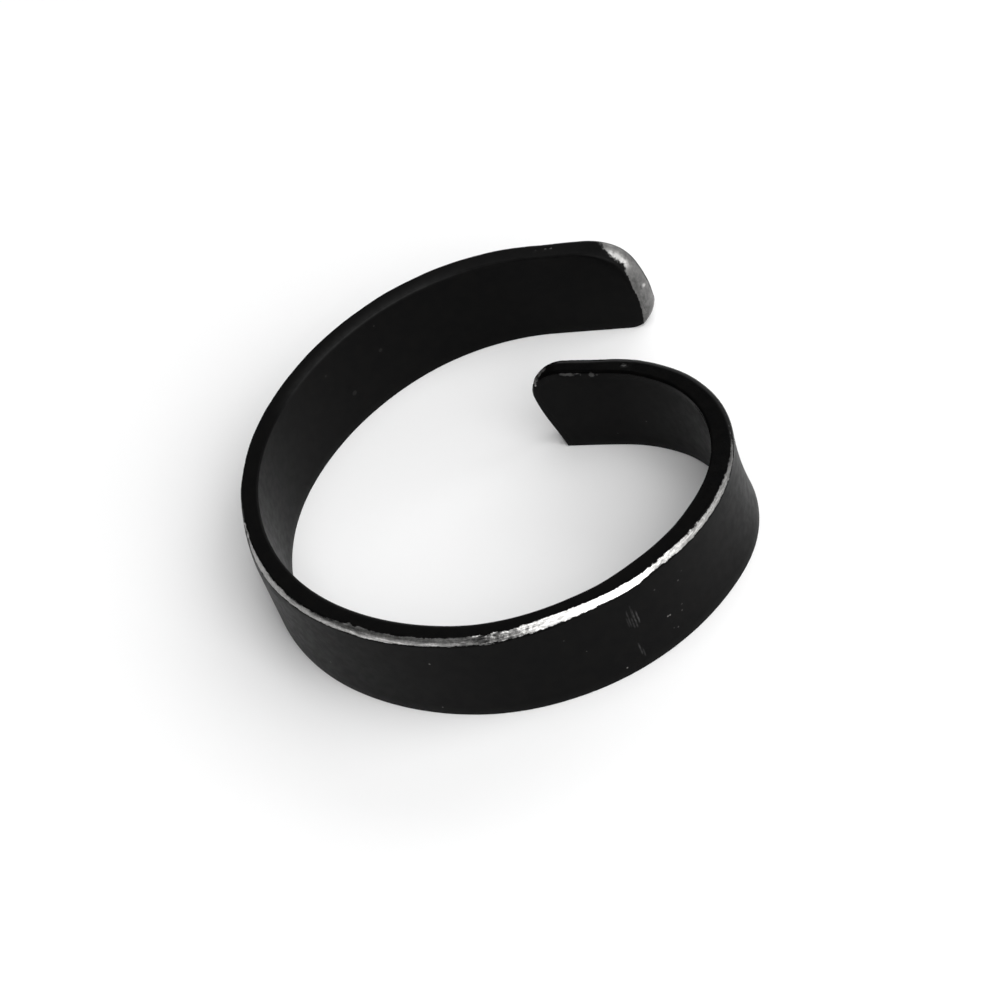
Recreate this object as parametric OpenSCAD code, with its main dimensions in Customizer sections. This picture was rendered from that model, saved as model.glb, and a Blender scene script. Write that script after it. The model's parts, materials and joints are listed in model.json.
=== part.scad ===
// An open band ring: one flat metal strip, wound inwards once round, lying on its side.
// Millimetres, +Z up, the strip's lower edge on z = 0 and the middle of the ring's outline at x = y = 0.
// The outer end lies along the back and points to +X; the inner end lies in front of it, inside the loop.

/* [Strip] */
// Width of the strip, which is the height of the ring as it lies
band_w = 4; // [3.4:0.1:5]
// Thickness of the strip
band_t = 0.8; // [0.7:0.05:1]

/* [Edges] */
// Worn 45 degree edge along the top of the outer face
worn_edge = 0.16; // [0.08:0.02:0.24]
// Broken edge along the top of the inner face
inner_edge = 0.1; // [0.04:0.02:0.16]
// Broken edges along the underside
under_edge = 0.05; // [0.02:0.01:0.1]

/* [Bends, by the radius of the strip's middle] */
// Radius of the bend after the outer end
back_right_r = 8.5; // [8:0.1:9]
// Radius of the bend along the back
back_left_r = 9.9; // [9:0.1:11]
// Radius of the bend round the left side
left_r = 8.1; // [7.6:0.1:9]
// Radius of the bend at the front, on the left
front_left_r = 10.3; // [9.4:0.1:12]
// Radius of the bend at the front and round the right side
front_right_r = 8.4; // [8:0.1:9]
// Radius of the tight bend that takes the strip inside its own outer end
curl_r = 4.4; // [3.4:0.1:5]
// Radius of the bend that leads to the inner end
run_in_r = 6.5; // [5:0.1:8]
// Radius of the almost straight stretch at the inner end
inner_run_r = 50; // [30:1:80]

/* [Degrees that each bend turns] */
// Turn of the bend after the outer end
back_right_turn = 40; // [36:0.5:44]
// Turn of the bend along the back
back_left_turn = 34.5; // [31:0.5:38]
// Turn of the bend round the left side
left_turn = 78.5; // [74:0.5:82]
// Turn of the bend at the front, on the left
front_left_turn = 24; // [20:0.5:28]
// Turn of the bend at the front and round the right side
front_right_turn = 73.5; // [70:0.5:78]
// Turn of the tight bend
curl_turn = 81.5; // [77:0.5:86]
// Turn of the bend that leads to the inner end
run_in_turn = 22.5; // [19:0.5:26]

/* [Ends] */
// Straight stretch at the outer end, up to its tip
outer_run = 3.75; // [2.8:0.05:4.6]
// Length of the almost straight stretch at the inner end, up to its tip
inner_run = 2.75; // [2:0.05:3.2]
// Radius of the outer end's upper corner
outer_top_r = 1.9; // [0.8:0.1:2.2]
// Radius of the outer end's lower corner
outer_low_r = 0.8; // [0.2:0.1:1.2]
// Degrees that the outer end's cut leans, so that its outer face is the longer one
outer_skew = 12; // [0:1:20]
// Radius of the inner end's upper corner
inner_top_r = 1.2; // [0.6:0.1:1.8]
// Degrees that the inner end's cut leans, so that its top is longer than its bottom
inner_lean = 11; // [0:1:16]

/* [Hidden] */
$fn = 180;
band_colour = [0.07, 0.07, 0.07];
// Every bend from the outer end to the inner one: [radius, degrees]
bends = [
    [back_right_r, back_right_turn],
    [back_left_r, back_left_turn],
    [left_r, left_turn],
    [front_left_r, front_left_turn],
    [front_right_r, front_right_turn],
    [curl_r, curl_turn],
    [run_in_r, run_in_turn],
    [inner_run_r, inner_run / inner_run_r * 180 / PI],
];
count = len(bends);
// How far the shapes that clip and cut the strip stand clear of it
clear = 1;
// How far a cutting block reaches along the strip from a tip
reach = 2.4;

// Heading and place of the strip's middle where bend i begins. The outer tip is at the origin and heads along +X.
function turned(v, a) = [v[0] * cos(a) - v[1] * sin(a), v[0] * sin(a) + v[1] * cos(a)];
function run_of(bend) = bend[0] * [sin(bend[1]), 1 - cos(bend[1])];
function heading(i) = i == 0 ? 0 : heading(i - 1) + bends[i - 1][1];
function place(i) = i == 0 ? [outer_run, 0] : place(i - 1) + turned(run_of(bends[i - 1]), heading(i - 1));

// Centre of bend i, and a point across the strip where the bend begins, so far outside its middle.
function centre(i) = place(i) + turned([0, bends[i][0]], heading(i));
function across(i, out) = place(i) + turned([0, -out], heading(i));

// Points every half degree along the outer face of every bend, and the middle of the box round them.
outer_face = [
    for (i = [0:count - 1])
        for (a = [0:0.5:bends[i][1]])
            centre(i) + turned((bends[i][0] + band_t / 2) * [sin(a), -cos(a)], heading(i))
];
outer_x = [for (p = outer_face) p[0]];
outer_y = [for (p = outer_face) p[1]];
middle = [(min(outer_x) + max(outer_x)) / 2, (min(outer_y) + max(outer_y)) / 2];

// Moves by the whole hundredths first and then by the rest, so that neighbouring bends meet to the last digit.
module moved(v) {
    hundredths = [round(v[0] * 100) / 100, round(v[1] * 100) / 100];
    translate(hundredths)
        translate(v - hundredths)
            children();
}

// Cross-section of the strip: the outer face at +x, the underside at y = 0.
module section() {
    half = band_t / 2;
    polygon([
        [-half + under_edge, 0],
        [half - under_edge, 0],
        [half, under_edge],
        [half, band_w - worn_edge],
        [half - worn_edge, band_w],
        [-half + inner_edge, band_w],
        [-half, band_w - inner_edge],
        [-half, under_edge],
    ]);
}

// The straight stretch at the outer end, from its tip at the origin along +X.
module outer_straight() {
    translate([outer_run, 0, 0])
        rotate([90, 0, -90])
            linear_extrude(outer_run)
                section();
}

// Bend i: the part of a whole ring between the lines across the strip at the bend's two ends.
module bend(i) {
    r = bends[i][0];
    half_turn = bends[i][1] / 2;
    peak = (r + clear) / cos(half_turn) * [sin(half_turn), -cos(half_turn)];
    intersection() {
        moved(centre(i))
            rotate_extrude()
                translate([r, 0])
                    section();
        translate([0, 0, -clear])
            linear_extrude(band_w + 2 * clear)
                polygon([
                    across(i, -2 * clear),
                    across(i, clear),
                    centre(i) + turned(peak, heading(i)),
                    across(i + 1, clear),
                    across(i + 1, -2 * clear),
                ]);
    }
}

// Side view of what a cut takes off an end whose tip is at x = 0 and whose strip runs to -x.
module end_waste(top_r, low_r, lean) {
    // The cut is a straight line from the foot to where it touches the upper corner's circle
    centre_y = band_w - top_r;
    touch = [-top_r + top_r * cos(lean), centre_y - top_r * sin(lean)];
    foot_x = touch[0] - touch[1] * tan(lean);
    difference() {
        translate([-reach, -clear])
            square([reach + clear, band_w + 2 * clear]);
        translate([-top_r, centre_y])
            circle(top_r);
        polygon([
            [-reach - clear, -2 * clear],
            [-reach - clear, band_w + 2 * clear],
            [-top_r, band_w + 2 * clear],
            [-top_r, centre_y],
            touch,
            [foot_x, 0],
            [foot_x, -2 * clear],
        ]);
    }
    if (low_r > 0)
        difference() {
            translate([foot_x - low_r, -clear])
                square([low_r + clear, low_r + clear]);
            translate([foot_x - low_r, low_r])
                circle(low_r);
        }
}

// The waste as a block across the strip, with the strip's end at the origin pointing to +X.
module end_cutter(top_r, low_r, lean) {
    rotate([90, 0, 0])
        linear_extrude(band_t + 2 * clear, center = true)
            end_waste(top_r, low_r, lean);
}

// The strip with both ends trimmed, turned so that the outer end points to +X.
module band() {
    color(band_colour)
        rotate([0, 0, 180])
            translate(-middle)
                difference() {
                    union() {
                        outer_straight();
                        for (i = [0:count - 1])
                            bend(i);
                    }
                    translate([0, -band_t / 2, 0])
                        rotate([0, 0, 180 - outer_skew])
                            end_cutter(outer_top_r, outer_low_r, 0);
                    translate(place(count))
                        rotate([0, 0, heading(count)])
                            end_cutter(inner_top_r, 0, inner_lean);
                }
}

band();
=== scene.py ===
import json
import math

import bmesh
import bpy
import numpy as np
from mathutils import Matrix, Vector, noise

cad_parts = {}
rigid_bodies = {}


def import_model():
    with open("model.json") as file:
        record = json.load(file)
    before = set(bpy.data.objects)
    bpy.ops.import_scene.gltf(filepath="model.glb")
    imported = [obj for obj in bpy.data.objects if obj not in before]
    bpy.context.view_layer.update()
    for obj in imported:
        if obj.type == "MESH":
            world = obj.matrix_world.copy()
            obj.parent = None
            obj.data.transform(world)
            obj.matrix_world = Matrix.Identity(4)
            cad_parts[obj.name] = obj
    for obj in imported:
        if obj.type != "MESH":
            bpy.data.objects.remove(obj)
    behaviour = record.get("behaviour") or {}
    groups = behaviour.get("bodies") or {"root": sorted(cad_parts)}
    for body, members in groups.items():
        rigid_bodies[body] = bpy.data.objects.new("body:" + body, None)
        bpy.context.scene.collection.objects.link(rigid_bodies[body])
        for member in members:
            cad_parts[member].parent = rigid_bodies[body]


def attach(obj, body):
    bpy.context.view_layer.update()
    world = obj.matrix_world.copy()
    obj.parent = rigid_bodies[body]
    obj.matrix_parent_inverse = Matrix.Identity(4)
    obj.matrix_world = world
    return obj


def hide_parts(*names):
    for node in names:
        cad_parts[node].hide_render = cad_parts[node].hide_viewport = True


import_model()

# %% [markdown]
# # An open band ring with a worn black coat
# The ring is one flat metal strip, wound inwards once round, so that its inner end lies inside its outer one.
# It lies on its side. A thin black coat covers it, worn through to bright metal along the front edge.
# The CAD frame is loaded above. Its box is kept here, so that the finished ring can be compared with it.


for left_over in [o for o in bpy.data.objects if o.name in ("Cube", "Light", "Camera")]:
    bpy.data.objects.remove(left_over)
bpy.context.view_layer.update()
bpy.ops.object.select_all(action="DESELECT")

# %% [markdown]
# ## The blank
# A maker starts from a straight, flat strip, rounds its ends, breaks its edges and only then bends it round.
# A ring could also be spun from its section, but this one has eight bends, and wear that runs along them.
# So the model is made in the maker's order, because every edge is easy to reach while the strip is flat.
# It is made at one unit to the millimetre, as the wear is finer than Blender's own tolerances at true size.
# X runs along the strip from the outer end, the outer face is at -Y, and Z runs across the strip.

# %% Sizes of the strip
MM = 0.001
WIDTH = 4.0
THICKNESS = 0.8
HALF = THICKNESS / 2
OUTER_RUN = 3.75
INNER_RUN = 2.75
INNER_RUN_R = 50.0
# Radius and degrees of every bend, from the outer end to the inner one
BENDS = [(8.5, 40), (9.9, 34.5), (8.1, 78.5), (10.3, 24), (8.4, 73.5), (4.4, 81.5), (6.5, 22.5)]
BENDS.append((INNER_RUN_R, math.degrees(INNER_RUN / INNER_RUN_R)))
LENGTH = OUTER_RUN + sum(radius * math.radians(turn) for radius, turn in BENDS)
print(f"strip {LENGTH:.2f} x {THICKNESS} x {WIDTH} mm, {len(BENDS)} bends")


# %% Helpers that select by place
def pick(kind, wanted):
    """Leaves the active piece in edit mode, with only the parts selected that wanted() accepts."""
    bpy.ops.object.mode_set(mode="EDIT")
    bpy.ops.mesh.select_mode(type=kind)
    bpy.ops.mesh.select_all(action="DESELECT")
    edited = bmesh.from_edit_mesh(bpy.context.object.data)
    candidates = {"FACE": edited.faces, "EDGE": edited.edges, "VERT": edited.verts}[kind]
    found = [part for part in candidates if wanted(part)]
    for part in found:
        part.select_set(True)
    bmesh.update_edit_mesh(bpy.context.object.data)
    return len(found)


def near(value, target, room=0.001):
    return abs(value - target) < room


# %% A straight bar
bpy.ops.mesh.primitive_cube_add(size=1, location=(LENGTH / 2, 0, WIDTH / 2))
band = bpy.context.object
band.name = "coated_band"
band.data.name = "coated_band"
band.scale = (LENGTH, THICKNESS, WIDTH)
bpy.ops.object.transform_apply(location=True, rotation=False, scale=True)
print("bar:", len(band.data.polygons), "faces")

# %% [markdown]
# The inner end is cut at a lean, so that its top reaches further than its foot. Its foot points and its top
# points are moved along the strip by what the lean and the rounded corner ask for.
# Then the corners are rounded. A bevel of the corner's edge, with many segments, gives the round of a file.

# %% Cut and round the two ends
INNER_TOP_R = 1.2
OUTER_TOP_R = 1.9
OUTER_LOW_R = 0.8
LEAN = math.radians(11)
# Where the leaning cut touches the corner's circle, counted from the tip and from the foot
touch_x = INNER_TOP_R * (math.cos(LEAN) - 1)
touch_z = WIDTH - INNER_TOP_R * (1 + math.sin(LEAN))
foot = touch_x - touch_z * math.tan(LEAN)
overhang = foot + WIDTH * math.tan(LEAN)
pick("VERT", lambda v: near(v.co.x, LENGTH) and v.co.z < HALF)
bpy.ops.transform.translate(value=(foot, 0, 0))
pick("VERT", lambda v: near(v.co.x, LENGTH) and v.co.z > HALF)
bpy.ops.transform.translate(value=(overhang, 0, 0))


def round_corner(x, z, offset, segments):
    """Rounds the end's corner at that place, along the edge that runs through the thickness."""
    pick("EDGE", lambda e: all(near(v.co.x, x, 0.01) and near(v.co.z, z, 0.01) for v in e.verts))
    bpy.ops.mesh.bevel(offset=offset, segments=segments, profile=0.5, affect="EDGES")


round_corner(0, WIDTH, OUTER_TOP_R, segments=48)
round_corner(0, 0, OUTER_LOW_R, segments=20)
round_corner(LENGTH + overhang, WIDTH, INNER_TOP_R / math.tan((math.pi / 2 - LEAN) / 2), segments=30)
print(f"inner end: foot {foot:.2f} mm, top {overhang:+.2f} mm")

# %% [markdown]
# No real edge is sharp. Both outlines get a small bevel all round, which is what catches the light.

# %% Break the edges
EDGE_BREAK = 0.04
count = pick("EDGE", lambda e: near(e.verts[0].co.y, e.verts[1].co.y) and near(abs(e.verts[0].co.y), HALF))
bpy.ops.mesh.bevel(offset=EDGE_BREAK, segments=3, profile=0.5, affect="EDGES", clamp_overlap=True)
print("edges broken:", count)

# %% [markdown]
# ## Enough faces to bend and to wear
# A flat face can't bend. An even subdivision would do, but the worn edge needs faces much finer than the rest.
# So bisect cuts rows along the strip, close together near the front edge, where the wear is.
# Columns come next: bisect at the rounded ends, and a subdivide of the long edges between them.


# %% Rows along the strip
def cut(wanted, place, direction):
    """Cuts the faces that wanted() accepts with a plane."""
    if pick("FACE", wanted):
        bpy.ops.mesh.bisect(plane_co=place, plane_no=direction, use_fill=False, threshold=0.00001)


def steps(start, stop, step):
    return [start + step * i for i in range(int(round((stop - start) / step)) + 1)]


def on_outline(face):
    """Whether a face lies on the rim, the underside or an end, and not on one of the two broad faces."""
    return abs(face.normal.y) < 0.1


def height(face):
    return face.calc_center_median().z


ALONG, THROUGH, ACROSS = (1, 0, 0), (0, 1, 0), (0, 0, 1)
FINE = 0.04
# Faces of the outline that are lower than this belong to the underside
UNDERSIDE_TOP = 0.5
FRONT_ROWS = steps(0.4, 3.2, 0.28) + steps(3.34, 3.9, FINE)
INSIDE_ROWS = steps(0.4, 3.6, 0.32) + [3.74, 3.8, 3.86, 3.92]
RIM_ROWS = steps(-0.32, 0.0, FINE) + [0.08, 0.14, 0.2, 0.24, 0.28, 0.32]
UNDER_ROWS = [-0.2, 0.0, 0.2]
OUTER_END_ROW = 0.06
INNER_END_ROW = 0.08
for z in FRONT_ROWS:
    cut(lambda f: f.normal.y < -0.9, (0, 0, z), ACROSS)
for z in INSIDE_ROWS:
    cut(lambda f: f.normal.y > 0.9, (0, 0, z), ACROSS)
for y in RIM_ROWS:
    cut(lambda f: on_outline(f) and height(f) > UNDERSIDE_TOP, (0, y, 0), THROUGH)
for y in UNDER_ROWS:
    cut(lambda f: on_outline(f) and height(f) < UNDERSIDE_TOP, (0, y, 0), THROUGH)
for z in steps(OUTER_LOW_R + OUTER_END_ROW, WIDTH - OUTER_TOP_R - OUTER_END_ROW, OUTER_END_ROW):
    cut(lambda f: f.normal.x < -0.99 and on_outline(f), (0, 0, z), ACROSS)
for z in steps(INNER_END_ROW, touch_z - INNER_END_ROW / 2, INNER_END_ROW):
    cut(lambda f: f.normal.x > 0.95 and on_outline(f), (0, 0, z), ACROSS)
print("faces after the rows:", len(bmesh.from_edit_mesh(band.data).faces))


# %% Columns across the strip
def run(edge):
    """How far an edge runs along the strip."""
    return abs(edge.verts[0].co.x - edge.verts[1].co.x)


COLUMN = 0.06
OUTER_ZONE = 2.4
INNER_ZONE = 1.8
LONG_STEPS = 9
inner_zone_x = LENGTH - INNER_ZONE
for x in steps(2 * COLUMN, OUTER_ZONE, COLUMN) + steps(inner_zone_x, LENGTH - COLUMN, COLUMN):
    cut(lambda f: True, (x, 0, 0), ALONG)
# Subdivide makes at most a hundred cuts at once, so the long edges are cut in nine first, and then each ninth
ninth = (inner_zone_x - OUTER_ZONE) / LONG_STEPS
pick("EDGE", lambda e: run(e) > 2 * ninth)
bpy.ops.mesh.subdivide(number_cuts=LONG_STEPS - 1, smoothness=0)
columns = int(ninth / COLUMN)
pick("EDGE", lambda e: run(e) > ninth / 2)
bpy.ops.mesh.subdivide(number_cuts=columns - 1, smoothness=0)
bpy.ops.object.mode_set(mode="OBJECT")
print(f"{columns * LONG_STEPS} columns between the ends, {len(band.data.polygons)} faces")

# %% [markdown]
# ## Wear
# The front edge rubs on everything. It is worn to a narrow facet, and the coat is gone from it.
# A bump in the material could show that from the front, but the ring's outline would stay sharp.
# So the points move. How far is worked out for each of them, from how deep it lies behind the outer face,
# behind the inner face and behind the outline of the strip, which runs along the top and round both ends.

# %% Depth behind each surface
mesh = band.data
flat = np.zeros(len(mesh.vertices) * 3)
mesh.vertices.foreach_get("co", flat)
flat = flat.reshape(-1, 3)
# These three are views of flat, and follow it when it changes
x_place, y_place, z_place = flat.T


def toward(centre_x, centre_z, radius, x, z):
    """Depth inside a rounded corner, and the direction inwards."""
    dx, dz = centre_x - x, centre_z - z
    far = np.maximum(np.hypot(dx, dz), 1e-6)
    return radius - far, dx / far, dz / far


def outline_depth(x, z):
    """Depth behind the top and the two ends, and the direction inwards, for every point."""
    depth, in_x, in_z = WIDTH - z, np.zeros_like(x), -np.ones_like(x)
    outer = x < OUTER_TOP_R
    outer_z = WIDTH - OUTER_TOP_R
    inner_x, inner_z = LENGTH - INNER_TOP_R, WIDTH - INNER_TOP_R
    slant = (LENGTH + foot - x) * math.cos(LEAN) + z * math.sin(LEAN)
    slant_x, slant_z = np.full_like(x, -math.cos(LEAN)), np.full_like(x, math.sin(LEAN))
    zones = [
        (outer & (z > outer_z), toward(OUTER_TOP_R, outer_z, OUTER_TOP_R, x, z)),
        (outer & (z <= outer_z), (x, np.ones_like(x), np.zeros_like(x))),
        ((x < OUTER_LOW_R) & (z < OUTER_LOW_R), toward(OUTER_LOW_R, OUTER_LOW_R, OUTER_LOW_R, x, z)),
        ((x > inner_x) & (z > touch_z), toward(inner_x, inner_z, INNER_TOP_R, x, z)),
        ((x > inner_x) & (z <= touch_z), (slant, slant_x, slant_z)),
    ]
    for where, (zone_depth, zone_x, zone_z) in zones:
        depth[where] = zone_depth[where]
        in_x[where] = zone_x[where]
        in_z[where] = zone_z[where]
    return depth, in_x, in_z


depth, in_x, in_z = outline_depth(x_place, z_place)
behind = y_place + HALF
inside = HALF - y_place
print("points:", len(flat), "deepest:", round(float(depth.max()), 2))


# %% Helpers for tables, fades and noise
def along(x, rows, column=1):
    """Reads a table whose first column is the place along the strip."""
    rows = np.array(rows)
    return np.interp(x, rows[:, 0], rows[:, column])


def fade(values, none, full):
    """0 at one value, 1 at the other, straight between them and level outside."""
    return np.clip((values - none) / (full - none), 0, 1)


def grit(points, size, seed):
    """Smooth random numbers between -1 and 1, one for each point, with bumps of that size."""
    return np.array([noise.noise(Vector((x / size, y / size, z / size + seed))) for x, y, z in points])


print("grit at the first point:", round(float(grit(flat[:1], 0.5, 5.0)[0]), 3))

# %% [markdown]
# How far the bare metal reaches changes along the strip. A plain 45 degree edge would be a facet between two
# lines. The table gives the two borders of the bare metal, both counted up over the edge from the lower line.
# The last two columns are how round the worn edge is, and how rough.

# %% Table of the worn edge
FACET = 0.16
SLOPE = math.sqrt(0.5)
# Place along the strip, lower and upper border counted from the facet's lower line, roundness, roughness
BARE = [
    (0.0, 0.16, 0.06, 1.6, 0.2), (20.6, 0.16, 0.14, 1.6, 0.2), (20.9, 0.20, 0.32, 1.6, 0.3),
    (21.1, 0.23, 0.26, 1.6, 0.3), (21.3, 0.20, 0.33, 1.6, 0.3), (21.6, 0.18, 0.26, 1.6, 0.3),
    (22.5, 0.06, 0.27, 1.6, 0.5), (24.0, 0.02, 0.24, 1.6, 0.5), (25.0, -0.01, 0.21, 1.6, 0.5),
    (26.0, -0.05, 0.19, 1.6, 0.5), (27.3, -0.07, 0.24, 1.6, 0.7), (27.5, -0.08, 0.33, 1.6, 0.7),
    (27.8, -0.08, 0.26, 1.6, 0.7), (28.0, -0.10, 0.32, 1.6, 0.7), (28.5, -0.12, 0.24, 1.6, 0.5),
    (30.0, -0.07, 0.25, 1.5, 0.4), (32.0, -0.06, 0.25, 1.3, 0.4), (32.25, -0.10, 0.31, 1.2, 1.0),
    (32.45, -0.15, 0.20, 1.2, 1.2), (32.8, -0.05, 0.33, 1.2, 1.0), (33.2, -0.05, 0.28, 1.15, 1.2),
    (33.6, -0.03, 0.34, 1.1, 1.2), (34.6, 0.00, 0.38, 1.05, 0.4), (35.5, 0.01, 0.37, 1.05, 0.3),
    (36.2, 0.01, 0.31, 1.05, 0.2), (37.5, -0.06, 0.22, 1.05, 0.2), (38.2, 0.02, 0.21, 1.1, 0.4),
    (39.0, -0.03, 0.22, 1.2, 0.6), (40.2, -0.13, 0.17, 1.3, 0.7), (41.3, -0.13, 0.16, 1.3, 0.7),
    (42.0, -0.08, 0.20, 1.4, 0.7), (43.0, 0.02, 0.19, 1.5, 0.5), (43.6, 0.09, 0.19, 1.6, 0.3),
    (44.1, 0.17, 0.17, 1.7, 0.2), (LENGTH, 0.16, 0.06, 1.7, 0.2),
]
# The front edge's bare metal stops this far short of the inner face
INNER_MARGIN = 0.1


def over_edge(u, w):
    """Millimetres up over the front edge from the facet's lower line, by depth behind face and rim."""
    t = u - w
    on_facet = (t + FACET) * SLOPE
    past_facet = t - FACET + 2 * FACET * SLOPE
    return np.where(t < -FACET, t + FACET, np.where(t > FACET, past_facet, on_facet))


climb = over_edge(behind, depth)
bare = np.minimum(climb - along(x_place, BARE, 1), along(x_place, BARE, 2) - climb)
bare[inside < INNER_MARGIN] = -1
print("points with bare metal along the front edge:", int((bare > 0).sum()))

# %% [markdown]
# The shape of the edge follows the same table, but more softly, because the coat breaks off in a ragged line
# and the metal under it doesn't. Where the coat still holds, the edge is rounded by other amounts.
# Each point near an edge moves in until it lies on a curve between the two faces. A power of 2 makes that
# curve an ellipse, and a power of 1 a flat facet.

# %% Tables of the rounded edges
# The rounded edge where the coat still holds: place, reach across the rim, reach down the face
ROUNDED = [
    (0.0, 0.08, 0.08), (1.5, 0.14, 0.12), (3.0, 0.19, 0.25), (12.0, 0.20, 0.30), (15.0, 0.20, 0.5),
    (17.0, 0.21, 0.9), (21.0, 0.22, 1.2), (22.5, 0.22, 1.1), (25.0, 0.15, 0.4), (27.0, 0.10, 0.2),
    (43.0, 0.12, 0.2), (46.0, 0.22, 0.22), (49.0, 0.28, 0.28), (51.0, 0.34, 0.34), (LENGTH, 0.42, 0.42),
]
# The edge between rim and inner face: place, reach
INNER_EDGE = [
    (0.0, 0.08), (3.0, 0.05), (17.0, 0.04), (24.0, 0.06), (28.0, 0.14), (32.0, 0.17), (35.5, 0.09),
    (36.5, 0.12), (38.0, 0.08), (40.0, 0.15), (42.0, 0.09), (44.0, 0.05), (LENGTH, 0.08),
]
# How far below the bare metal the worn shape starts
LEAD_IN = 0.07
DENT_SIZE, DENT_DEPTH = 0.14, 0.05
SWELL_SIZE, SWELL_DEPTH = 1.1, 0.03


def softly(column):
    """A border from the table of bare metal, evened out over a millimetre."""
    steps_aside = (-0.5, -0.25, 0.0, 0.25, 0.5)
    return sum(along(x_place + step, BARE, column) for step in steps_aside) / len(steps_aside)


lower_reach = np.maximum(FACET - softly(1) + LEAD_IN, along(x_place, ROUNDED, 2))
upper_reach = np.maximum(FACET + softly(2) - 2 * FACET * SLOPE, along(x_place, ROUNDED, 1))
roundness = along(x_place, BARE, 3)
dents = grit(flat, DENT_SIZE, seed=3.0) * along(x_place, BARE, 4) * DENT_DEPTH
swell = grit(flat * ALONG, SWELL_SIZE, seed=9.0) * SWELL_DEPTH
print("widest reach down the face:", round(float(lower_reach.max()), 2), "mm")

# %% Wear the edges
HALVINGS = 24
INNER_POWER = 1.5
# Below the first height the edges get only these shares of the wear, and above the second all of it
SHARE_FROM, SHARE_TO = 1.6, 3.2
FOOT_SHARE, INNER_FOOT_SHARE = 0.25, 0.4
# Each face's edge wears only the points that are more than this from the other face
EDGE_ZONE = 0.3
# How far along the strip the filing of the outer end reaches, and the extra rounding that it left on the edge
END_REACH = 1.2
FILED_EDGE = 0.14


def wear_corner(u, w, reach_u, reach_w, power, extra=0.0):
    """How far a point near an edge moves in, in both directions, to lie on the worn edge."""
    a, b = u / reach_u, w / reach_w
    tilt = np.clip(a - b, -1, 1)
    low_end, high_end = np.zeros_like(a), np.full_like(a, 0.5)
    for _ in range(HALVINGS):
        m = (low_end + high_end) / 2
        outside = (((1 - tilt) / 2 + m) ** power + ((1 + tilt) / 2 + m) ** power) > 1
        high_end, low_end = np.where(outside, m, high_end), np.where(outside, low_end, m)
    move = np.maximum((1 - a - b) / 2 - m + extra, 0)
    return move * reach_u, move * reach_w


def wear_points(where, side, through, inwards):
    """Moves those points through the thickness, to one side, and inwards from the outline."""
    worn[where, 1] += side * through[where]
    worn[where, 0] += (inwards * in_x)[where]
    worn[where, 2] += (inwards * in_z)[where]


worn = flat.copy()
near_top = fade(z_place, SHARE_FROM, SHARE_TO)
share = FOOT_SHARE + (1 - FOOT_SHARE) * near_top
rim_reach = upper_reach * share + swell
face_reach = lower_reach * share + swell
wear_points(inside > EDGE_ZONE, 1, *wear_corner(behind, depth, rim_reach, face_reach, roundness, dents))
filed_edge = FILED_EDGE * fade(x_place, END_REACH, 0) * fade(z_place, 0.4, 1.0) * fade(z_place, 3.6, 2.8)
inner_share = INNER_FOOT_SHARE + (1 - INNER_FOOT_SHARE) * near_top
inner_reach = along(x_place, INNER_EDGE) * inner_share + filed_edge
wear_points(behind > EDGE_ZONE, -1, *wear_corner(inside, depth, inner_reach, inner_reach, INNER_POWER))
print("points that the wear moves:", int((np.abs(worn - flat).max(1) > 0).sum()))

# %% [markdown]
# ### The ends
# The outer end's cut leans, so that its outer face is the longer one, and both ends bulge a little, as if
# filed by hand. At the tight bend the strip is dished across its width: metal that is stretched along its
# outer face draws together across it.

# %% Tables of the ends and the dish
SKEW = math.radians(12)
# The lean of the outer end's cut is whole up to the first place along the strip and gone from the second on
LEAN_WHOLE, LEAN_GONE = 2.0, 4.5
CROWN = 0.09
# The inner end's bulge, how far it reaches along the strip, and its height and half width across it
INNER_BULGE = 0.12
BULGE_REACH = 1.5
BULGE_Z, BULGE_HALF = 1.9, 1.2
# Height on the outer end, and how far the filed end lies behind its plain round shape
FILED = [
    (0.0, -0.11), (0.25, -0.10), (0.5, -0.05), (1.0, -0.05), (1.3, -0.06), (1.6, -0.05), (1.9, 0.0),
    (2.2, 0.05), (2.5, 0.08), (2.8, 0.07), (3.2, 0.035), (3.5, 0.0), (WIDTH, 0.0),
]
# How deep the outer face is dished
DISH = [
    (0.0, 0.0), (38.0, 0.0), (40.5, 0.05), (42.5, 0.10), (45.0, 0.12), (48.0, 0.10), (51.0, 0.03),
    (LENGTH, 0.0),
]
# How far the strip's foot and top stray from the plain bends, towards the hollow
STRAY = [
    (0.0, 0.0, 0.0), (18.0, 0.0, 0.01), (21.0, 0.0, 0.02), (24.0, 0.0, 0.0), (34.5, 0.0, 0.0),
    (36.5, -0.03, -0.02), (39.0, -0.05, -0.04), (41.5, -0.05, -0.04), (44.0, -0.02, 0.0),
    (46.5, -0.02, 0.0), (48.0, -0.06, 0.0), (50.5, -0.06, 0.0), (LENGTH, 0.0, 0.0),
]
# How much lower the rim is worn towards the inner end
LOWERED = [(0.0, 0.0), (49.5, 0.0), (50.7, 0.06), (LENGTH, 0.06)]
print("rows:", len(FILED), len(DISH), len(STRAY), len(LOWERED))

# %% Lean, bulge and dish
held = fade(x_place, LEAN_GONE, LEAN_WHOLE)
lean_shift = held * (x_place * (1 / math.cos(SKEW) - 1) + behind * math.tan(SKEW))
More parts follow.
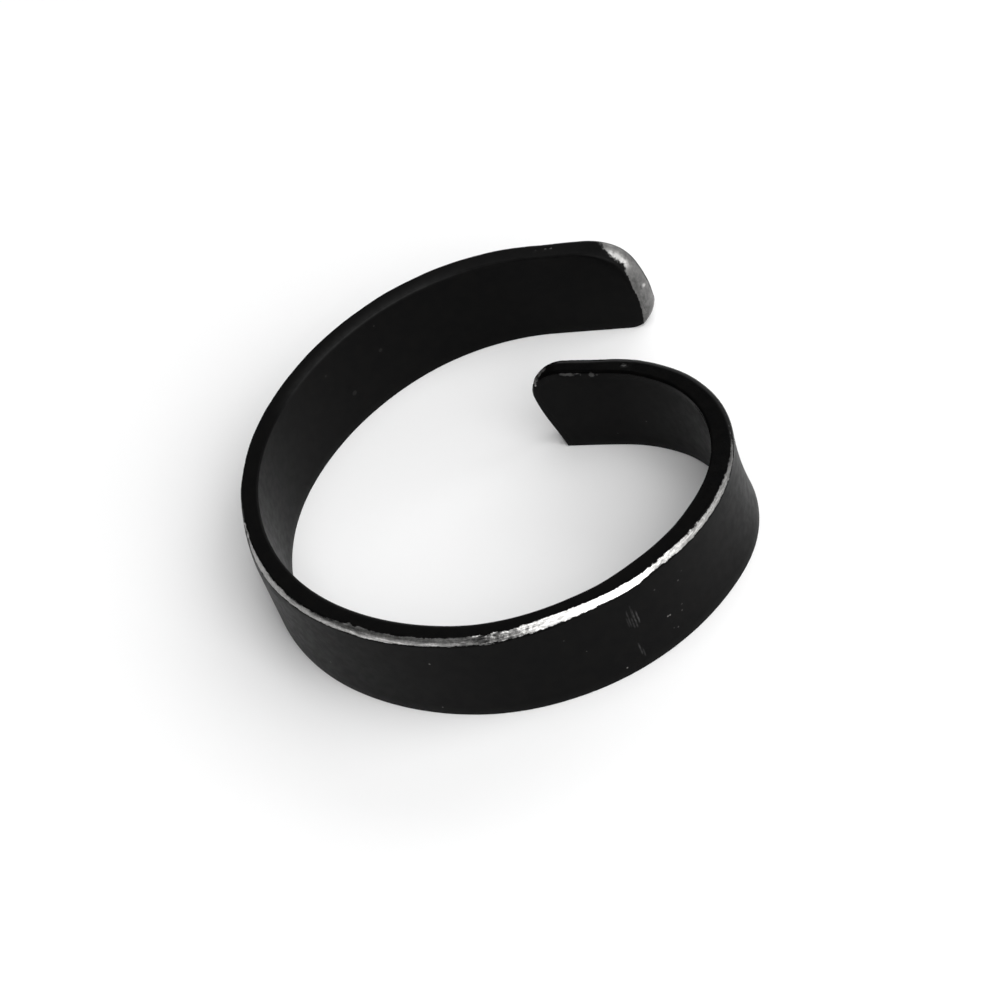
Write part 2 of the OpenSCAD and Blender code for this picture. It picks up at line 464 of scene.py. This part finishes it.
# The outer end's lower corner is crowned across the thickness
crown = CROWN * (1 - (y_place / HALF) ** 2) * fade(z_place, 1.5, 0.6)
outer_bulge = (along(z_place, FILED) - crown) * fade(x_place, END_REACH, 0)
inner_bulge = INNER_BULGE * fade(x_place, LENGTH - BULGE_REACH, LENGTH)
inner_bulge *= np.exp(-((z_place - BULGE_Z) / BULGE_HALF) ** 2)
dish = along(x_place, DISH) * (1 - (2 * z_place / WIDTH - 1) ** 2)
foot_stray, top_stray = along(x_place, STRAY, 1), along(x_place, STRAY, 2)
stray = foot_stray + (top_stray - foot_stray) * z_place / WIDTH
lowered = along(x_place, LOWERED) * fade(z_place, 3.0, 3.6)
shift = np.stack([lean_shift + outer_bulge + inner_bulge, dish + stray, -lowered], 1)
flat[:, 0] += shift[:, 0]
worn += shift
print("most that the dish moves the face:", round(float(dish.max()), 3), "mm")

# %% [markdown]
# ### Bare ends and chips
# At the outer end the coat is gone from the whole end face, up to a ragged border that climbs across the rim.
# Small chips sit along the edges. Each chip is an ellipse of bare metal at a place on the strip.

# %% Bare ends and chips
# Height on the end, and how far from the tip the bare metal reaches there
END_BORDER = [
    (0.0, -0.3), (0.1, 0.2), (0.2, 0.38), (0.6, 0.30), (1.28, 0.28), (1.76, 0.27), (2.03, 0.36), (2.6, 0.33),
    (3.08, 0.44), (3.3, 0.58), (3.54, 0.80), (3.7, 0.99), (3.83, 1.18), (3.96, 1.45), (4.0, 1.5),
]
# The coat still holds in this strip along the outer face
OUTER_MARGIN = 0.05
# Place along, through and across the strip, radius along it and radius in the two other directions
CHIPS = [
    (51.92, 0.38, 3.88, 0.32, 0.09), (51.55, 0.38, 3.90, 0.12, 0.06), (51.42, 0.40, 3.86, 0.05, 0.05),
    (51.01, 0.38, 3.85, 0.10, 0.12), (50.80, 0.40, 3.86, 0.05, 0.05), (49.82, 0.05, 4.00, 0.11, 0.08),
    (49.50, 0.36, 3.92, 0.05, 0.05), (49.20, 0.34, 3.95, 0.05, 0.04), (3.56, -0.02, 4.00, 0.05, 0.04),
    (3.20, -0.04, 4.00, 0.06, 0.04), (3.00, -0.06, 4.00, 0.05, 0.04), (52.85, 0.08, 3.80, 0.14, 0.12),
    (53.02, 0.17, 3.66, 0.14, 0.17), (53.15, 0.26, 3.52, 0.10, 0.16), (53.25, 0.32, 3.38, 0.09, 0.13),
]
end_bare = np.minimum(along(z_place, END_BORDER) - x_place, behind - OUTER_MARGIN)
bare = np.maximum(bare, end_bare)
for *centre, radius_along, radius_across in CHIPS:
    reach = np.linalg.norm((flat - centre) / (radius_along, radius_across, radius_across), axis=1)
    bare = np.maximum(bare, (1 - reach) * min(radius_along, radius_across))
print("points with bare metal:", int((bare > 0).sum()), "of", len(bare))

# %% [markdown]
# The coat itself isn't even either. Along the back, the inner half of the rim carries a painted highlight in
# grey, brightest at its inner edge, and on the tight bend the rim is smoother than the rest.

# %% Painted highlight on the back rim, and polished coat
# Place along the strip, and how strong the rim's painted highlight is
BACK_RIM_HIGHLIGHT = [(0.0, 0.15), (6.0, 0.3), (8.0, 1.0), (14.0, 1.0), (16.0, 0.0), (LENGTH, 0.0)]
# Place along the strip, and the rim's roughness as a share of the coat's
POLISH = [(0.0, 1.0), (37.0, 1.0), (41.0, 0.7), (46.0, 0.55), (LENGTH, 0.5)]
RIM_HIGHLIGHT_REACH = 0.24
# Both are marks of the rim, and fade out with the depth below it
rubbed = 0.15 * fade(behind, 0, THICKNESS) ** 2 + np.exp(-(inside / RIM_HIGHLIGHT_REACH) ** 2)
rubbed *= along(x_place, BACK_RIM_HIGHLIGHT) * fade(depth, 0.10, 0.04)
polish = 1 - fade(depth, 0.3, 0.2) * (1 - along(x_place, POLISH))
print("most rubbed:", round(float(rubbed.max()), 2), "smoothest:", round(float(polish.min()), 2))

# %% [markdown]
# The bare steel's brightness along the strip is partly painted reflection: brightest at the front and the
# right, and dull on the tight bend, with the metal's own mottling in places. The outer end keeps a bright
# smear and a small pit.

# %% How bright the bare metal is, with painted reflection
# Place along the strip, brightness with painted reflection, mottling
TONE_AND_SHEEN = [
    (0.0, 0.18, 0.2), (3.0, 0.3, 0.2), (20.0, 0.5, 0.3), (22.0, 0.42, 0.4), (26.0, 0.46, 0.4),
    (28.0, 0.70, 0.45), (31.0, 0.80, 0.4), (32.1, 0.8, 0.8), (32.5, 0.9, 1.0), (33.0, 1.0, 0.9),
    (33.6, 1.0, 0.7), (34.2, 1.0, 0.5), (35.5, 1.0, 0.4), (38.0, 1.0, 0.3), (38.6, 0.85, 0.7),
    (39.2, 0.85, 0.5), (40.5, 0.75, 0.5), (41.5, 0.5, 0.5), (43.0, 0.2, 0.4), (44.5, 0.08, 0.2),
    (48.0, 0.06, 0.3), (50.5, 0.06, 0.3), (52.2, 0.06, 0.3), (52.7, 0.5, 0.4), (53.0, 1.0, 0.5),
    (LENGTH, 1.0, 0.5),
]
END_ZONE = 2.0
on_end = x_place < END_ZONE


def patch(y, z, half_y, half_z):
    """A soft spot on the outer end, from 1 in its middle to 0."""
    return np.exp(-((y_place - y) / half_y) ** 2 - ((z_place - z) / half_z) ** 2) * on_end


mottle = along(x_place, TONE_AND_SHEEN, 2)
shine = along(x_place, TONE_AND_SHEEN, 1)
# Painted shade: on the left half, the upper part of the facet is made darker than the lower
UPPER_PAINTED_SHADE = 0.2
upper_part = fade(climb, 0.07, 0.11) * fade(x_place, 32.3, 31.3) * (x_place > 20)
shine *= 1 - UPPER_PAINTED_SHADE * upper_part
# A bright smear high on the end, and a painted highlight and a painted shade beside a small pit: place,
# height, half widths
SMEAR = (0.08, 3.30, 0.17, 0.33)
PIT_GLINT = (-0.06, 1.72, 0.07, 0.05)
PIT_SHADE = (0.14, 1.82, 0.06, 0.07)
smeared = fade(grit(flat, 0.15, seed=7.0), -0.9, 0.1)
shine += 1.3 * patch(*SMEAR) * smeared
shine += 0.7 * patch(*PIT_GLINT)
shine -= 0.3 * patch(*PIT_SHADE)
# Cloudiness of two sizes on the end
shine += 0.09 * grit(flat, 0.5, seed=5.0) * on_end
shine += 0.07 * grit(flat, 0.16, seed=2.0) * on_end
print("brightness from", round(float(shine.min()), 2), "to", round(float(shine.max()), 2))

# %% [markdown]
# The metal lies a film's thickness below the coat, so bare points sink a little along their normals.
# Each point keeps what the finish needs: where it lay on the flat strip, how deep it is inside bare metal,
# how bright the metal is there with its painted reflection and how mottled, how strong the rim's painted
# highlight is, and how smooth.

# %% Sink the bare metal and store what the finish needs
COAT = 0.012
# The step between coat and metal runs from this far outside the border to as far inside it
BORDER = 0.015
# Through the thickness and height of the pit on the outer end, its half widths and its depth
PIT_Y, PIT_Z = 0.02, 1.76
PIT_HALF_Y, PIT_HALF_Z = 0.10, 0.09
PIT_DEPTH = 0.05
PIT_ZONE = 0.4
mesh.vertices.foreach_set("co", worn.ravel())
mesh.update()
normals = np.zeros(len(mesh.vertices) * 3)
mesh.vertices.foreach_get("normal", normals)
worn -= normals.reshape(-1, 3) * (COAT * fade(bare, -BORDER, BORDER))[:, None]
off_pit = ((z_place - PIT_Z) / PIT_HALF_Z) ** 2 + ((y_place - PIT_Y) / PIT_HALF_Y) ** 2
worn[:, 0] += PIT_DEPTH * np.exp(-off_pit) * (x_place < PIT_ZONE)
mesh.vertices.foreach_set("co", worn.ravel())
mesh.attributes.new("flat", "FLOAT_VECTOR", "POINT").data.foreach_set("vector", flat.ravel())
kept = {"bare": bare, "shine": shine, "mottle": mottle, "rubbed": rubbed, "polish": polish}
for name, values in kept.items():
    mesh.attributes.new(name, "FLOAT", "POINT").data.foreach_set("value", values)
mesh.update()
print("kept with the mesh:", ", ".join(["flat", *kept]))

# %% [markdown]
# ## Bending the strip
# The strip is bent round a route of arcs. The Curve modifier lays a mesh along such a route.
# Each arc is made of Bezier pieces of at most 15 degrees, with handles of the length that gives a true arc.

# %% The route
ARC_STEP = 15
PATH_STEPS = 16


def turned(x, y, angle):
    return (x * math.cos(angle) - y * math.sin(angle), x * math.sin(angle) + y * math.cos(angle))


# Each stop is its place and its heading, and each handle's length belongs to the piece after that stop
stops = [((0.0, 0.0), 0.0), ((OUTER_RUN, 0.0), 0.0)]
handles = [OUTER_RUN / 3]
for radius, turn in BENDS:
    pieces = max(1, round(turn / ARC_STEP))
    step = math.radians(turn) / pieces
    for _ in range(pieces):
        (x, y), heading = stops[-1]
        dx, dy = turned(radius * math.sin(step), radius * (1 - math.cos(step)), heading)
        stops.append(((x + dx, y + dy), heading + step))
        handles.append(4 / 3 * math.tan(step / 4) * radius)

route_curve = bpy.data.curves.new("route", "CURVE")
route_curve.dimensions = "3D"
route_curve.twist_mode = "Z_UP"
route_curve.resolution_u = PATH_STEPS
spline = route_curve.splines.new("BEZIER")
spline.bezier_points.add(len(stops) - 1)
for i, ((x, y), heading) in enumerate(stops):
    point = spline.bezier_points[i]
    point.handle_left_type = point.handle_right_type = "FREE"
    before = handles[max(i - 1, 0)]
    after = handles[min(i, len(handles) - 1)]
    point.co = (x, y, 0)
    point.handle_left = (x - before * math.cos(heading), y - before * math.sin(heading), 0)
    point.handle_right = (x + after * math.cos(heading), y + after * math.sin(heading), 0)
route = bpy.data.objects.new("route", route_curve)
bpy.context.scene.collection.objects.link(route)
print("route:", len(stops), "stops")

# %% [markdown]
# The bent strip is turned, so that its outer end points to +X, and moved, so that the middle of its outline
# is at the origin. It shrinks to its real size too, and all of that is applied to the mesh.

# %% Bend, turn and set down
bend = band.modifiers.new("bend", "CURVE")
bend.object = route
bend.deform_axis = "POS_X"
bpy.ops.object.modifier_apply(modifier="bend")
bpy.data.objects.remove(route)
bpy.data.curves.remove(route_curve)
bent = np.array([v.co for v in mesh.vertices])
middle = (bent.min(0) + bent.max(0)) / 2
band.rotation_euler.z = math.pi
band.location = (middle[0] * MM, middle[1] * MM, 0)
band.scale = (MM, MM, MM)
bpy.ops.object.transform_apply(location=True, rotation=True, scale=True)
bpy.ops.object.shade_smooth_by_angle(angle=math.radians(30))
print("middle of the bent strip:", [round(float(value), 3) for value in middle])

# %% [markdown]
# ## The finish
# The coat is a hard, satin black film. Where it has rubbed through, bright steel shows.
# Two materials on different faces would give a border as coarse as the faces. So one shader does both, and a
# mask made from the bare values chooses between them, with a ragged border from fine noise.
# All noise is read from where a point lay on the flat strip, so that it follows the bends.

# %% Shader helpers
finish = bpy.data.materials.new("black_coat_over_steel")
finish.use_nodes = True
nodes, links = finish.node_tree.nodes, finish.node_tree.links
shader = nodes["Principled BSDF"]


def node(kind, **settings):
    made = nodes.new(kind)
    for name, value in settings.items():
        setattr(made, name, value)
    return made


def plug(socket, value):
    """Sets a socket to a constant, or links it to another node's output."""
    if isinstance(value, (int, float, tuple)):
        socket.default_value = value
    else:
        links.new(value, socket)


def number(operation, first, second=None):
    made = node("ShaderNodeMath", operation=operation)
    for socket, value in zip(made.inputs, (first, second)):
        if value is not None:
            plug(socket, value)
    return made.outputs[0]


def times(first, second):
    return number("MULTIPLY", first, second)


def minus(first, second):
    return number("SUBTRACT", first, second)


def ramp(value, low_value, high_value, low_out=0.0, high_out=1.0):
    made = node("ShaderNodeMapRange", interpolation_type="SMOOTHSTEP")
    names = ("Value", "From Min", "From Max", "To Min", "To Max")
    for name, amount in zip(names, (value, low_value, high_value, low_out, high_out)):
        plug(made.inputs[name], amount)
    return made.outputs["Result"]


def blend(amount, first, second, kind="FLOAT"):
    made = node("ShaderNodeMix", data_type=kind)
    for socket, value in zip([s for s in made.inputs if s.enabled], (amount, first, second)):
        plug(socket, value)
    return [s for s in made.outputs if s.enabled][0]


def stored(name):
    """A number that the mesh keeps for each point."""
    return node("ShaderNodeAttribute", attribute_name=name).outputs["Fac"]


place = node("ShaderNodeAttribute", attribute_name="flat").outputs["Vector"]
split = node("ShaderNodeSeparateXYZ")
plug(split.inputs[0], place)
place_x, place_y, place_z = split.outputs
mottling = stored("mottle")


def grain(scale, detail=4.0, roughness=0.6, vector=place):
    """Noise with that many bumps to the millimetre, from 0 to 1."""
    made = node("ShaderNodeTexNoise")
    for name, value in (("Vector", vector), ("Scale", scale), ("Detail", detail), ("Roughness", roughness)):
        plug(made.inputs[name], value)
    return made.outputs["Fac"]


def wavering(scale, detail=4.0, roughness=0.6):
    """The same noise, from -0.5 to 0.5."""
    return minus(grain(scale, detail, roughness), 0.5)


print("helpers ready, nodes so far:", len(nodes))

# %% [markdown]
# The mask is 1 where a point is inside bare metal. Its border is moved by noise, more so where the metal is
# mottled. Specks are spots of missing coat that are too small for the mesh. Each is a ball round a place on
# the strip, and the shader lightens what of the surface lies in it.

# %% The mask of bare metal, and specks
jitter_reach = number("ADD", times(mottling, 0.2), 0.1)
ragged_depth = number("ADD", stored("bare"), times(wavering(6.0, detail=6.0, roughness=0.65), jitter_reach))
bare_mask = ramp(ragged_depth, -0.005, 0.005)
SPECK_SOFT = 0.03


def speck(x, y, z, radius):
    """A mask for one small spot of missing coat, at a place on the strip."""
    distance = node("ShaderNodeVectorMath", operation="DISTANCE")
    plug(distance.inputs[0], place)
    plug(distance.inputs[1], (x, y, z))
    ragged = number("ADD", distance.outputs["Value"], times(grain(14.0), SPECK_SOFT))
    return ramp(ragged, radius, radius + SPECK_SOFT, 1.0, 0.0)


# Along the strip, which face, height, radius and brightness
SPECKS = [
    (49.46, 0.4, 1.48, 0.03, 0.2), (50.84, 0.4, 0.66, 0.02, 0.2), (10.3, 0.4, 3.54, 0.03, 0.12),
    (12.95, 0.4, 3.19, 0.05, 0.06), (12.11, 0.4, 1.47, 0.10, 0.05), (10.43, 0.4, 2.34, 0.08, 0.05),
    (25.86, -0.4, 1.22, 0.03, 0.6), (30.28, -0.4, 2.8, 0.03, 0.6), (30.04, -0.4, 0.38, 0.025, 0.6),
    (34.78, -0.4, 2.96, 0.02, 0.3), (35.32, -0.4, 2.06, 0.02, 0.3), (36.33, -0.4, 0.43, 0.025, 1.0),
    (38.07, -0.4, 3.06, 0.03, 0.2), (38.19, -0.4, 1.54, 0.03, 0.7), (38.27, -0.4, 1.52, 0.03, 0.7),
    (38.96, -0.4, 2.64, 0.03, 0.3), (38.80, -0.4, 1.56, 0.03, 0.15), (38.73, -0.4, 1.30, 0.03, 0.25),
    (38.40, -0.4, 0.75, 0.03, 0.25), (38.25, -0.4, 0.85, 0.025, 0.15), (39.19, -0.4, 2.90, 0.02, 0.15),
]
specks = 0.0
for *spot, strength in SPECKS:
    specks = number("MAXIMUM", specks, times(speck(*spot), strength))
print("specks:", len(SPECKS))

# %% [markdown]
# Something scraped the outer face at the right. The scratches are short lines across the strip, a few
# hundredths of a millimetre wide, made wavy and broken by noise.

# %% Scratches
WAVE = 0.08
LINE_CORE, LINE_EDGE = 0.012, 0.035
wavy_x = number("ADD", place_x, times(wavering(2.0), WAVE))


def scratch(x, low_z, high_z, strength):
    """One scratch across the strip, from one height to another."""
    off_x = number("ABSOLUTE", minus(wavy_x, x))
    off_z = number("ABSOLUTE", minus(place_z, (low_z + high_z) / 2))
    length = high_z - low_z
    lengthways = ramp(off_z, length / 4, length / 2, 1.0, 0.0)
    return times(ramp(off_x, LINE_CORE, LINE_EDGE, strength, 0.0), lengthways)


# Place along the strip, lowest and highest point, strength
SCRATCHES = [
    (37.10, 2.40, 3.20, 0.5), (37.13, 1.90, 2.95, 1.0), (37.24, 2.05, 2.80, 0.9), (36.94, 2.10, 3.05, 0.5),
    (36.87, 2.15, 2.70, 0.4), (37.03, 1.95, 2.60, 0.5), (36.95, 0.60, 1.32, 0.7), (37.02, 0.45, 1.00, 0.4),
]
scratches = 0.0
for line in SCRATCHES:
    scratches = number("MAXIMUM", scratches, scratch(*line))
on_outer_face = number("LESS_THAN", place_y, 0.0)
broken = ramp(grain(5.0), 0.35, 0.55, 0.3, 1.0)
scratches = times(times(scratches, on_outer_face), broken)
print("scratches:", len(SCRATCHES))

# %% [markdown]
# The coat's colour starts as two blacks in soft clouds. Scratches, the back rim's painted highlight and specks
# are laid over it. The steel goes from nearly black to bright, by the brightness with painted reflection that
# the mesh keeps, with streaks along the strip and dark spots where it is mottled.

# %% Colour of the coat and of the steel
COAT_DARK, COAT_LIGHT = (0.0010, 0.0010, 0.0011, 1), (0.0018, 0.0017, 0.0016, 1)
SCRATCH_GREY = (0.045, 0.045, 0.045, 1)
RIM_HIGHLIGHT_GREY = (0.012, 0.012, 0.012, 1)
SPECK_GREY = (0.35, 0.34, 0.33, 1)
STEEL_DARK, STEEL_BRIGHT = (0.02, 0.02, 0.02, 1), (0.80, 0.79, 0.775, 1)
# Noise is drawn out along the strip by this factor for the streaks
DRAWN_OUT = 0.14
clouds = ramp(grain(2.0, detail=5.0), 0.35, 0.65)
coat = blend(clouds, COAT_DARK, COAT_LIGHT, "RGBA")
coat = blend(times(scratches, 0.8), coat, SCRATCH_GREY, "RGBA")
# Painted highlight: the back rim's inner half is lightened to grey
coat = blend(times(stored("rubbed"), ramp(grain(4.0), 0.3, 0.7, 0.6, 1.0)), coat, RIM_HIGHLIGHT_GREY, "RGBA")
coat = blend(times(specks, 0.5), coat, SPECK_GREY, "RGBA")
stretched = node("ShaderNodeCombineXYZ")
for axis, value in (("X", times(place_x, DRAWN_OUT)), ("Y", place_y), ("Z", place_z)):
    plug(stretched.inputs[axis], value)
lines = grain(13.0, detail=3.0, roughness=0.5, vector=stretched.outputs[0])
streaks = minus(1.1, times(ramp(lines, 0.38, 0.60, 1.0, 0.0), mottling))
speckle = ramp(grain(9.0), 0.42, 0.60)
dark_spots = times(times(minus(1.0, speckle), mottling), 0.7)
# The stored brightness carries the painted reflection and painted shade of the bare metal
brightness = times(times(stored("shine"), streaks), minus(1.0, dark_spots))
# Painted shade: the steel is darkened in a thin line beside the coat's broken edge
brightness = times(brightness, ramp(ragged_depth, 0.0, 0.03, 0.1, 1.0))
steel = blend(brightness, STEEL_DARK, STEEL_BRIGHT, "RGBA")
plug(shader.inputs["Base Color"], blend(bare_mask, coat, steel, "RGBA"))
plug(shader.inputs["Metallic"], bare_mask)
print("nodes for the colours:", len(nodes))

# %% [markdown]
# The coat is satin and hardly mirrors, so its specular level is low, and it is the same all over. The steel
# is a little smoother. A fine bump roughens the mottled metal and just breaks up the coat.

# %% Gloss and bump
COAT_SPECULAR = 0.045
BUMP_HEIGHT = 0.012
coat_rough = times(ramp(grain(3.0), 0.3, 0.7, 0.38, 0.46), stored("polish"))
steel_rough = ramp(grain(8.0), 0.35, 0.65, 0.28, 0.42)
plug(shader.inputs["Roughness"], blend(bare_mask, coat_rough, steel_rough))
plug(shader.inputs["Specular IOR Level"], COAT_SPECULAR)
bump = node("ShaderNodeBump")
plug(bump.inputs["Height"], blend(bare_mask, times(grain(22.0), 0.15), grain(12.0)))
plug(bump.inputs["Distance"], BUMP_HEIGHT * MM)
plug(bump.inputs["Strength"], ramp(mottling, 0.1, 0.6, 0.1, 0.6))
plug(shader.inputs["Normal"], bump.outputs["Normal"])

band.data.materials.clear()
band.data.materials.append(finish)
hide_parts("band")
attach(band, "root")
print("shader nodes:", len(nodes))

# %% [markdown]
# ## Floor, camera and light
# The ring lies on a plain white floor. The camera looks down from the front with a long lens, and is turned
# about its own line of sight. Four large soft lights stand at the right front, at the right, at the back and
# above, so that the bare metal shines and the shadow stays soft.

# %% Floor
FLOOR_SIZE = 1.2
bpy.ops.mesh.primitive_plane_add(size=FLOOR_SIZE, location=(0, 0, 0))
floor = bpy.context.object
floor.name = "floor"
floor_finish = bpy.data.materials.new("white_floor")
floor_finish.use_nodes = True
floor_inputs = floor_finish.node_tree.nodes["Principled BSDF"].inputs
floor_inputs["Base Color"].default_value = (0.92, 0.92, 0.92, 1)
floor_inputs["Roughness"].default_value = 0.9
floor_inputs["Specular IOR Level"].default_value = 0.0
floor.data.materials.append(floor_finish)
print("floor:", round(floor.dimensions.x, 2), "m wide")


# %% Camera
def toward_point(direction, raised):
    """A unit vector, from degrees round from -Y towards +X and degrees above the floor."""
    a, e = math.radians(direction), math.radians(raised)
    return Vector((math.sin(a) * math.cos(e), -math.cos(a) * math.cos(e), math.sin(e)))


AZIMUTH, ELEVATION, ROLL = 25.359, 46.190, 22.436
DISTANCE = 121.53
AIM = Vector((-0.0547, -0.8178, 1.4141))
LENS = 125.33
roll = math.radians(ROLL)
forward = -toward_point(AZIMUTH, ELEVATION)
level = Vector((math.cos(math.radians(AZIMUTH)), math.sin(math.radians(AZIMUTH)), 0))
upright = level.cross(forward)
right = level * math.cos(roll) - upright * math.sin(roll)
up = right.cross(forward)
view_turn = Matrix((right, up, -forward)).transposed().to_4x4()
camera = bpy.data.objects.new("camera", bpy.data.cameras.new("camera"))
camera.data.lens = LENS
camera.data.sensor_width = 36
camera.data.clip_start = 0.01
camera.matrix_world = Matrix.Translation((AIM - DISTANCE * forward) * MM) @ view_turn
bpy.context.scene.collection.objects.link(camera)
bpy.context.scene.camera = camera
print("camera at", [round(value, 3) for value in camera.matrix_world.translation])

# %% Lights
LIGHT_AWAY = 0.5
WORLD_LIGHT = 0.09
# Name, degrees round and degrees above the floor, the light's own width and height in metres, and watts
SOFTBOXES = [
    ("key", 45, 32, 0.36, 0.56, 2.25),
    ("side", 92, 34, 0.36, 0.56, 1.43),
    ("back", 168, 24, 0.70, 0.36, 1.60),
    ("top", 45, 80, 0.40, 0.40, 0.88),
]
for name, direction, raised, wide, tall, power in SOFTBOXES:
    where = toward_point(direction, raised)
    lamp = bpy.data.lights.new(name, "AREA")
    lamp.shape = "RECTANGLE"
    lamp.size, lamp.size_y = wide, tall
    lamp.energy = power
    holder = bpy.data.objects.new(name, lamp)
    facing = where.to_track_quat("Z", "Y").to_matrix().to_4x4()
    holder.matrix_world = Matrix.Translation(where * LIGHT_AWAY) @ facing
    bpy.context.scene.collection.objects.link(holder)
world = bpy.data.worlds.new("studio")
world.use_nodes = True
background = world.node_tree.nodes["Background"]
background.inputs["Color"].default_value = (1, 1, 1, 1)
background.inputs["Strength"].default_value = WORLD_LIGHT
bpy.context.scene.world = world
bpy.context.scene.view_settings.view_transform = "Standard"
print("lights:", len(SOFTBOXES))
